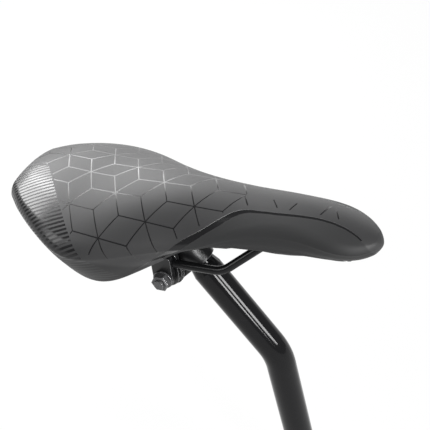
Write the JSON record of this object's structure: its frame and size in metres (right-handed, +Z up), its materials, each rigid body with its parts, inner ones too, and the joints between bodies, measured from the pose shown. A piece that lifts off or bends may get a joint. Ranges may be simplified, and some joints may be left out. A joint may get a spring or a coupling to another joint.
{
  "type": "bicycle saddle on a layback seat post",
  "caption": "Padded two-wheeler saddle on steel rails, held by a tilting, sliding rail clamp on a bent layback seat post.",
  "frame": {"origin": "on the axis of the seat post's straight shaft, in the middle of the length that the frame's seat tube grips", "axes": "+X forward to the saddle's nose, +Y to the rider's left, +Z up with the saddle level"},
  "size_m": [0.2878, 0.1492, 0.3628],
  "materials": {
    "black_tube": "gloss black paint over steel",
    "black_clamp": "black electroplated steel, bright worn edges",
    "bolt_steel": "black oxide steel, bright on its corners",
    "black_rail": "gloss black paint over round steel bar",
    "base_plastic": "fine moulded grain",
    "cover_skin": "matte synthetic leather with gloss printed lines and stripes"
  },
  "bodies": {
    "post": {"seat_post": "black_tube", "clamp_strap": "black_clamp", "lug_disc_left": "black_clamp", "lug_disc_right": "black_clamp"},
    "clamp": {"clamp_bolt": "bolt_steel", "inner_ear_left": "black_clamp", "inner_ear_right": "black_clamp", "outer_ear_left": "black_clamp", "outer_ear_right": "black_clamp", "washer_left": "bolt_steel", "washer_right": "bolt_steel", "nut_left": "bolt_steel", "nut_right": "bolt_steel"},
    "saddle": {"rail_left": "black_rail", "rail_right": "black_rail", "saddle_base": "base_plastic", "saddle_cover": "cover_skin"}
  },
  "joints": [
    {"name": "saddle_tilt", "type": "hinge", "parent": "post", "child": "clamp", "pos_m": [-0.12374, 0, 0.22275], "axis": [0, 1, 0], "range_deg": [-12, 12]},
    {"name": "saddle_slide", "type": "slide", "parent": "clamp", "child": "saddle", "axis": [0.9959, 0, 0.0906], "range_m": [-0.018, 0.012]}
  ]
}
